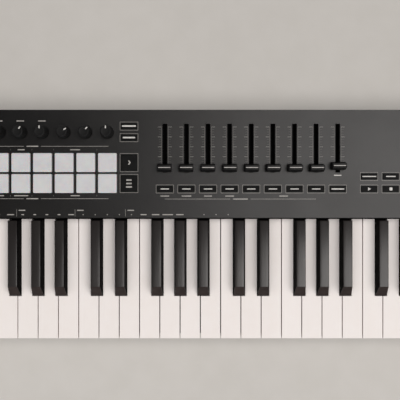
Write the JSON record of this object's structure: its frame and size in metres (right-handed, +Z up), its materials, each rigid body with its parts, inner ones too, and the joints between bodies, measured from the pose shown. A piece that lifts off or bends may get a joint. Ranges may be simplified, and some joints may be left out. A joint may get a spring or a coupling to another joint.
{
  "type": "midi keyboard",
  "caption": "Keyboard controller with sprung piano keys, drum pads, rotary knobs, faders, buttons and pitch and modulation wheels on a slab casing.",
  "frame": {"origin": "middle of the footprint, on the surface that the rubber feet stand on", "axes": "+X along the keys to the player's right, +Y away from the player, +Z up"},
  "size_m": [0.79, 0.263, 0.077],
  "materials": {
    "casing": "fine matte texture",
    "base": "matte",
    "chassis": "matte",
    "board": "solder-masked laminate",
    "lens": "polished",
    "feet": "matte",
    "pads": "satin translucent",
    "buttons": "matte",
    "knobs": "soft-touch",
    "faders": "satin",
    "wheels": "soft-touch",
    "white_keys": "semi-gloss",
    "black_keys": "satin"
  },
  "bodies": {
    "case": {"top_casing": "casing", "bottom_casing": "base", "keybed_chassis": "chassis", "key_contact_board": "board", "main_circuit_board": "board", "socket_board": "board", "display_window": "lens", "front_foot_strip": "feet", "rear_foot_strip": "feet"},
    "fader_1": {"fader_1": "faders"},
    "fader_2": {"fader_2": "faders"},
    "fader_3": {"fader_3": "faders"},
    "fader_4": {"fader_4": "faders"},
    "fader_5": {"fader_5": "faders"},
    "fader_6": {"fader_6": "faders"},
    "fader_7": {"fader_7": "faders"},
    "fader_8": {"fader_8": "faders"},
    "fader_9": {"fader_9": "faders"},
    "pitch_wheel": {"pitch_wheel": "wheels"},
    "modulation_wheel": {"modulation_wheel": "wheels"},
    "knob_1": {"knob_1": "knobs"},
    "knob_2": {"knob_2": "knobs"},
    "knob_3": {"knob_3": "knobs"},
    "knob_4": {"knob_4": "knobs"},
    "knob_5": {"knob_5": "knobs"},
    "knob_6": {"knob_6": "knobs"},
    "knob_7": {"knob_7": "knobs"},
    "knob_8": {"knob_8": "knobs"},
    "pad_mat": {"pad_mat": "pads"},
    "left_button_mat": {"left_button_mat": "buttons"},
    "centre_button_mat": {"centre_button_mat": "buttons"},
    "transport_button_mat": {"transport_button_mat": "buttons"},
    "black_key_As3": {"black_key_As3": "black_keys"},
    "black_key_As4": {"black_key_As4": "black_keys"},
    "black_key_Cs3": {"black_key_Cs3": "black_keys"},
    "black_key_Cs4": {"black_key_Cs4": "black_keys"},
    "black_key_Ds3": {"black_key_Ds3": "black_keys"},
    "black_key_Ds4": {"black_key_Ds4": "black_keys"},
    "black_key_Fs3": {"black_key_Fs3": "black_keys"},
    "black_key_Fs4": {"black_key_Fs4": "black_keys"},
    "black_key_Gs3": {"black_key_Gs3": "black_keys"},
    "black_key_Gs4": {"black_key_Gs4": "black_keys"},
    "black_key_set_high": {"black_key_set_high": "black_keys"},
    "black_key_set_low": {"black_key_set_low": "black_keys"},
    "white_key_A3": {"white_key_A3": "white_keys"},
    "white_key_A4": {"white_key_A4": "white_keys"},
    "white_key_B3": {"white_key_B3": "white_keys"},
    "white_key_B4": {"white_key_B4": "white_keys"},
    "white_key_C3": {"white_key_C3": "white_keys"},
    "white_key_C4": {"white_key_C4": "white_keys"},
    "white_key_D3": {"white_key_D3": "white_keys"},
    "white_key_D4": {"white_key_D4": "white_keys"},
    "white_key_E3": {"white_key_E3": "white_keys"},
    "white_key_E4": {"white_key_E4": "white_keys"},
    "white_key_F3": {"white_key_F3": "white_keys"},
    "white_key_F4": {"white_key_F4": "white_keys"},
    "white_key_G3": {"white_key_G3": "white_keys"},
    "white_key_G4": {"white_key_G4": "white_keys"},
    "white_key_set_high": {"white_key_set_high": "white_keys"},
    "white_key_set_low": {"white_key_set_low": "white_keys"}
  },
  "joints": [
    {"name": "fader_1_slide", "type": "slide", "parent": "case", "child": "fader_1", "axis": [0, 1, 0], "range_m": [0, 0.045]},
    {"name": "fader_2_slide", "type": "slide", "parent": "case", "child": "fader_2", "axis": [0, 1, 0], "range_m": [0, 0.045]},
    {"name": "fader_3_slide", "type": "slide", "parent": "case", "child": "fader_3", "axis": [0, 1, 0], "range_m": [0, 0.045]},
    {"name": "fader_4_slide", "type": "slide", "parent": "case", "child": "fader_4", "axis": [0, 1, 0], "range_m": [0, 0.045]},
    {"name": "fader_5_slide", "type": "slide", "parent": "case", "child": "fader_5", "axis": [0, 1, 0], "range_m": [0, 0.045]},
    {"name": "fader_6_slide", "type": "slide", "parent": "case", "child": "fader_6", "axis": [0, 1, 0], "range_m": [0, 0.045]},
    {"name": "fader_7_slide", "type": "slide", "parent": "case", "child": "fader_7", "axis": [0, 1, 0], "range_m": [0, 0.045]},
    {"name": "fader_8_slide", "type": "slide", "parent": "case", "child": "fader_8", "axis": [0, 1, 0], "range_m": [0, 0.045]},
    {"name": "fader_9_slide", "type": "slide", "parent": "case", "child": "fader_9", "axis": [0, 1, 0], "range_m": [-0.0022, 0.0428]},
    {"name": "pitch_wheel_turn", "type": "hinge", "parent": "case", "child": "pitch_wheel", "pos_m": [-0.368, -0.044, 0.041], "axis": [-1, 0, 0], "range_deg": [-40, 40], "stiffness_Nm_per_rad": 0.05},
    {"name": "modulation_wheel_turn", "type": "hinge", "parent": "case", "child": "modulation_wheel", "pos_m": [-0.328, -0.044, 0.041], "axis": [-1, 0, 0], "range_deg": [0, 70]},
    {"name": "knob_1_turn", "type": "hinge", "parent": "case", "child": "knob_1", "pos_m": [-0.2667, 0.1058, 0.06], "axis": [0, 0, 1], "range_deg": [-150, 150]},
    {"name": "knob_2_turn", "type": "hinge", "parent": "case", "child": "knob_2", "pos_m": [-0.2422, 0.1058, 0.06], "axis": [0, 0, 1], "range_deg": [-150, 150]},
    {"name": "knob_3_turn", "type": "hinge", "parent": "case", "child": "knob_3", "pos_m": [-0.2177, 0.1058, 0.06], "axis": [0, 0, 1], "range_deg": [-150, 150]},
    {"name": "knob_4_turn", "type": "hinge", "parent": "case", "child": "knob_4", "pos_m": [-0.1932, 0.1058, 0.06], "axis": [0, 0, 1], "range_deg": [-115, 185]},
    {"name": "knob_5_turn", "type": "hinge", "parent": "case", "child": "knob_5", "pos_m": [-0.1687, 0.1058, 0.06], "axis": [0, 0, 1], "range_deg": [-150, 150]},
    {"name": "knob_6_turn", "type": "hinge", "parent": "case", "child": "knob_6", "pos_m": [-0.1442, 0.1058, 0.06], "axis": [0, 0, 1], "range_deg": [-90, 210]},
    {"name": "knob_7_turn", "type": "hinge", "parent": "case", "child": "knob_7", "pos_m": [-0.1197, 0.1058, 0.06], "axis": [0, 0, 1], "range_deg": [-105, 195]},
    {"name": "knob_8_turn", "type": "hinge", "parent": "case", "child": "knob_8", "pos_m": [-0.0952, 0.1058, 0.06], "axis": [0, 0, 1], "range_deg": [-150, 150]},
    {"name": "pad_mat_press", "type": "slide", "parent": "case", "child": "pad_mat", "axis": [0, 0, -1], "range_m": [0, 0.0006], "stiffness_N_per_m": 2500, "springref_m": -0.001},
    {"name": "left_button_mat_press", "type": "slide", "parent": "case", "child": "left_button_mat", "axis": [0, 0, -1], "range_m": [0, 0.0007], "stiffness_N_per_m": 1500, "springref_m": -0.001},
    {"name": "centre_button_mat_press", "type": "slide", "parent": "case", "child": "centre_button_mat", "axis": [0, 0, -1], "range_m": [0, 0.0007], "stiffness_N_per_m": 1500, "springref_m": -0.001},
    {"name": "transport_button_mat_press", "type": "slide", "parent": "case", "child": "transport_button_mat", "axis": [0, 0, -1], "range_m": [0, 0.0007], "stiffness_N_per_m": 1000, "springref_m": -0.001},
    {"name": "black_key_set_high_press", "type": "hinge", "parent": "case", "child": "black_key_set_high", "pos_m": [0, 0.062, 0.036], "axis": [1, 0, 0], "range_deg": [0, 3.4], "stiffness_Nm_per_rad": 6, "springref_deg": -6.88},
    {"name": "black_key_set_low_press", "type": "hinge", "parent": "case", "child": "black_key_set_low", "pos_m": [0, 0.062, 0.036], "axis": [1, 0, 0], "range_deg": [0, 3.4], "stiffness_Nm_per_rad": 6, "springref_deg": -6.88},
    {"name": "white_key_set_high_press", "type": "hinge", "parent": "case", "child": "white_key_set_high", "pos_m": [0, 0.062, 0.036], "axis": [1, 0, 0], "range_deg": [0, 3], "stiffness_Nm_per_rad": 6, "springref_deg": -6.88},
    {"name": "white_key_set_low_press", "type": "hinge", "parent": "case", "child": "white_key_set_low", "pos_m": [0, 0.062, 0.036], "axis": [1, 0, 0], "range_deg": [0, 3], "stiffness_Nm_per_rad": 6, "springref_deg": -6.88},
    {"name": "white_key_C3_press", "type": "hinge", "parent": "case", "child": "white_key_C3", "pos_m": [0, 0.062, 0.036], "axis": [1, 0, 0], "range_deg": [0, 3], "stiffness_Nm_per_rad": 0.8, "springref_deg": -6.88},
    {"name": "black_key_Cs3_press", "type": "hinge", "parent": "case", "child": "black_key_Cs3", "pos_m": [0, 0.062, 0.036], "axis": [1, 0, 0], "range_deg": [0, 3.4], "stiffness_Nm_per_rad": 0.8, "springref_deg": -6.88},
    {"name": "white_key_D3_press", "type": "hinge", "parent": "case", "child": "white_key_D3", "pos_m": [0, 0.062, 0.036], "axis": [1, 0, 0], "range_deg": [0, 3], "stiffness_Nm_per_rad": 0.8, "springref_deg": -6.88},
    {"name": "black_key_Ds3_press", "type": "hinge", "parent": "case", "child": "black_key_Ds3", "pos_m": [0, 0.062, 0.036], "axis": [1, 0, 0], "range_deg": [0, 3.4], "stiffness_Nm_per_rad": 0.8, "springref_deg": -6.88},
    {"name": "white_key_E3_press", "type": "hinge", "parent": "case", "child": "white_key_E3", "pos_m": [0, 0.062, 0.036], "axis": [1, 0, 0], "range_deg": [0, 3], "stiffness_Nm_per_rad": 0.8, "springref_deg": -6.88},
    {"name": "white_key_F3_press", "type": "hinge", "parent": "case", "child": "white_key_F3", "pos_m": [0, 0.062, 0.036], "axis": [1, 0, 0], "range_deg": [0, 3], "stiffness_Nm_per_rad": 0.8, "springref_deg": -6.88},
    {"name": "black_key_Fs3_press", "type": "hinge", "parent": "case", "child": "black_key_Fs3", "pos_m": [0, 0.062, 0.036], "axis": [1, 0, 0], "range_deg": [0, 3.4], "stiffness_Nm_per_rad": 0.8, "springref_deg": -6.88},
    {"name": "white_key_G3_press", "type": "hinge", "parent": "case", "child": "white_key_G3", "pos_m": [0, 0.062, 0.036], "axis": [1, 0, 0], "range_deg": [0, 3], "stiffness_Nm_per_rad": 0.8, "springref_deg": -6.88},
    {"name": "black_key_Gs3_press", "type": "hinge", "parent": "case", "child": "black_key_Gs3", "pos_m": [0, 0.062, 0.036], "axis": [1, 0, 0], "range_deg": [0, 3.4], "stiffness_Nm_per_rad": 0.8, "springref_deg": -6.88},
    {"name": "white_key_A3_press", "type": "hinge", "parent": "case", "child": "white_key_A3", "pos_m": [0, 0.062, 0.036], "axis": [1, 0, 0], "range_deg": [0, 3], "stiffness_Nm_per_rad": 0.8, "springref_deg": -6.88},
    {"name": "black_key_As3_press", "type": "hinge", "parent": "case", "child": "black_key_As3", "pos_m": [0, 0.062, 0.036], "axis": [1, 0, 0], "range_deg": [0, 3.4], "stiffness_Nm_per_rad": 0.8, "springref_deg": -6.88},
    {"name": "white_key_B3_press", "type": "hinge", "parent": "case", "child": "white_key_B3", "pos_m": [0, 0.062, 0.036], "axis": [1, 0, 0], "range_deg": [0, 3], "stiffness_Nm_per_rad": 0.8, "springref_deg": -6.88},
    {"name": "white_key_C4_press", "type": "hinge", "parent": "case", "child": "white_key_C4", "pos_m": [0, 0.062, 0.036], "axis": [1, 0, 0], "range_deg": [0, 3], "stiffness_Nm_per_rad": 0.8, "springref_deg": -6.88},
    {"name": "black_key_Cs4_press", "type": "hinge", "parent": "case", "child": "black_key_Cs4", "pos_m": [0, 0.062, 0.036], "axis": [1, 0, 0], "range_deg": [0, 3.4], "stiffness_Nm_per_rad": 0.8, "springref_deg": -6.88},
    {"name": "white_key_D4_press", "type": "hinge", "parent": "case", "child": "white_key_D4", "pos_m": [0, 0.062, 0.036], "axis": [1, 0, 0], "range_deg": [0, 3], "stiffness_Nm_per_rad": 0.8, "springref_deg": -6.88},
    {"name": "black_key_Ds4_press", "type": "hinge", "parent": "case", "child": "black_key_Ds4", "pos_m": [0, 0.062, 0.036], "axis": [1, 0, 0], "range_deg": [0, 3.4], "stiffness_Nm_per_rad": 0.8, "springref_deg": -6.88},
    {"name": "white_key_E4_press", "type": "hinge", "parent": "case", "child": "white_key_E4", "pos_m": [0, 0.062, 0.036], "axis": [1, 0, 0], "range_deg": [0, 3], "stiffness_Nm_per_rad": 0.8, "springref_deg": -6.88},
    {"name": "white_key_F4_press", "type": "hinge", "parent": "case", "child": "white_key_F4", "pos_m": [0, 0.062, 0.036], "axis": [1, 0, 0], "range_deg": [0, 3], "stiffness_Nm_per_rad": 0.8, "springref_deg": -6.88},
    {"name": "black_key_Fs4_press", "type": "hinge", "parent": "case", "child": "black_key_Fs4", "pos_m": [0, 0.062, 0.036], "axis": [1, 0, 0], "range_deg": [0, 3.4], "stiffness_Nm_per_rad": 0.8, "springref_deg": -6.88},
    {"name": "white_key_G4_press", "type": "hinge", "parent": "case", "child": "white_key_G4", "pos_m": [0, 0.062, 0.036], "axis": [1, 0, 0], "range_deg": [0, 3], "stiffness_Nm_per_rad": 0.8, "springref_deg": -6.88},
    {"name": "black_key_Gs4_press", "type": "hinge", "parent": "case", "child": "black_key_Gs4", "pos_m": [0, 0.062, 0.036], "axis": [1, 0, 0], "range_deg": [0, 3.4], "stiffness_Nm_per_rad": 0.8, "springref_deg": -6.88},
    {"name": "white_key_A4_press", "type": "hinge", "parent": "case", "child": "white_key_A4", "pos_m": [0, 0.062, 0.036], "axis": [1, 0, 0], "range_deg": [0, 3], "stiffness_Nm_per_rad": 0.8, "springref_deg": -6.88},
    {"name": "black_key_As4_press", "type": "hinge", "parent": "case", "child": "black_key_As4", "pos_m": [0, 0.062, 0.036], "axis": [1, 0, 0], "range_deg": [0, 3.4], "stiffness_Nm_per_rad": 0.8, "springref_deg": -6.88},
    {"name": "white_key_B4_press", "type": "hinge", "parent": "case", "child": "white_key_B4", "pos_m": [0, 0.062, 0.036], "axis": [1, 0, 0], "range_deg": [0, 3], "stiffness_Nm_per_rad": 0.8, "springref_deg": -6.88}
  ]
}
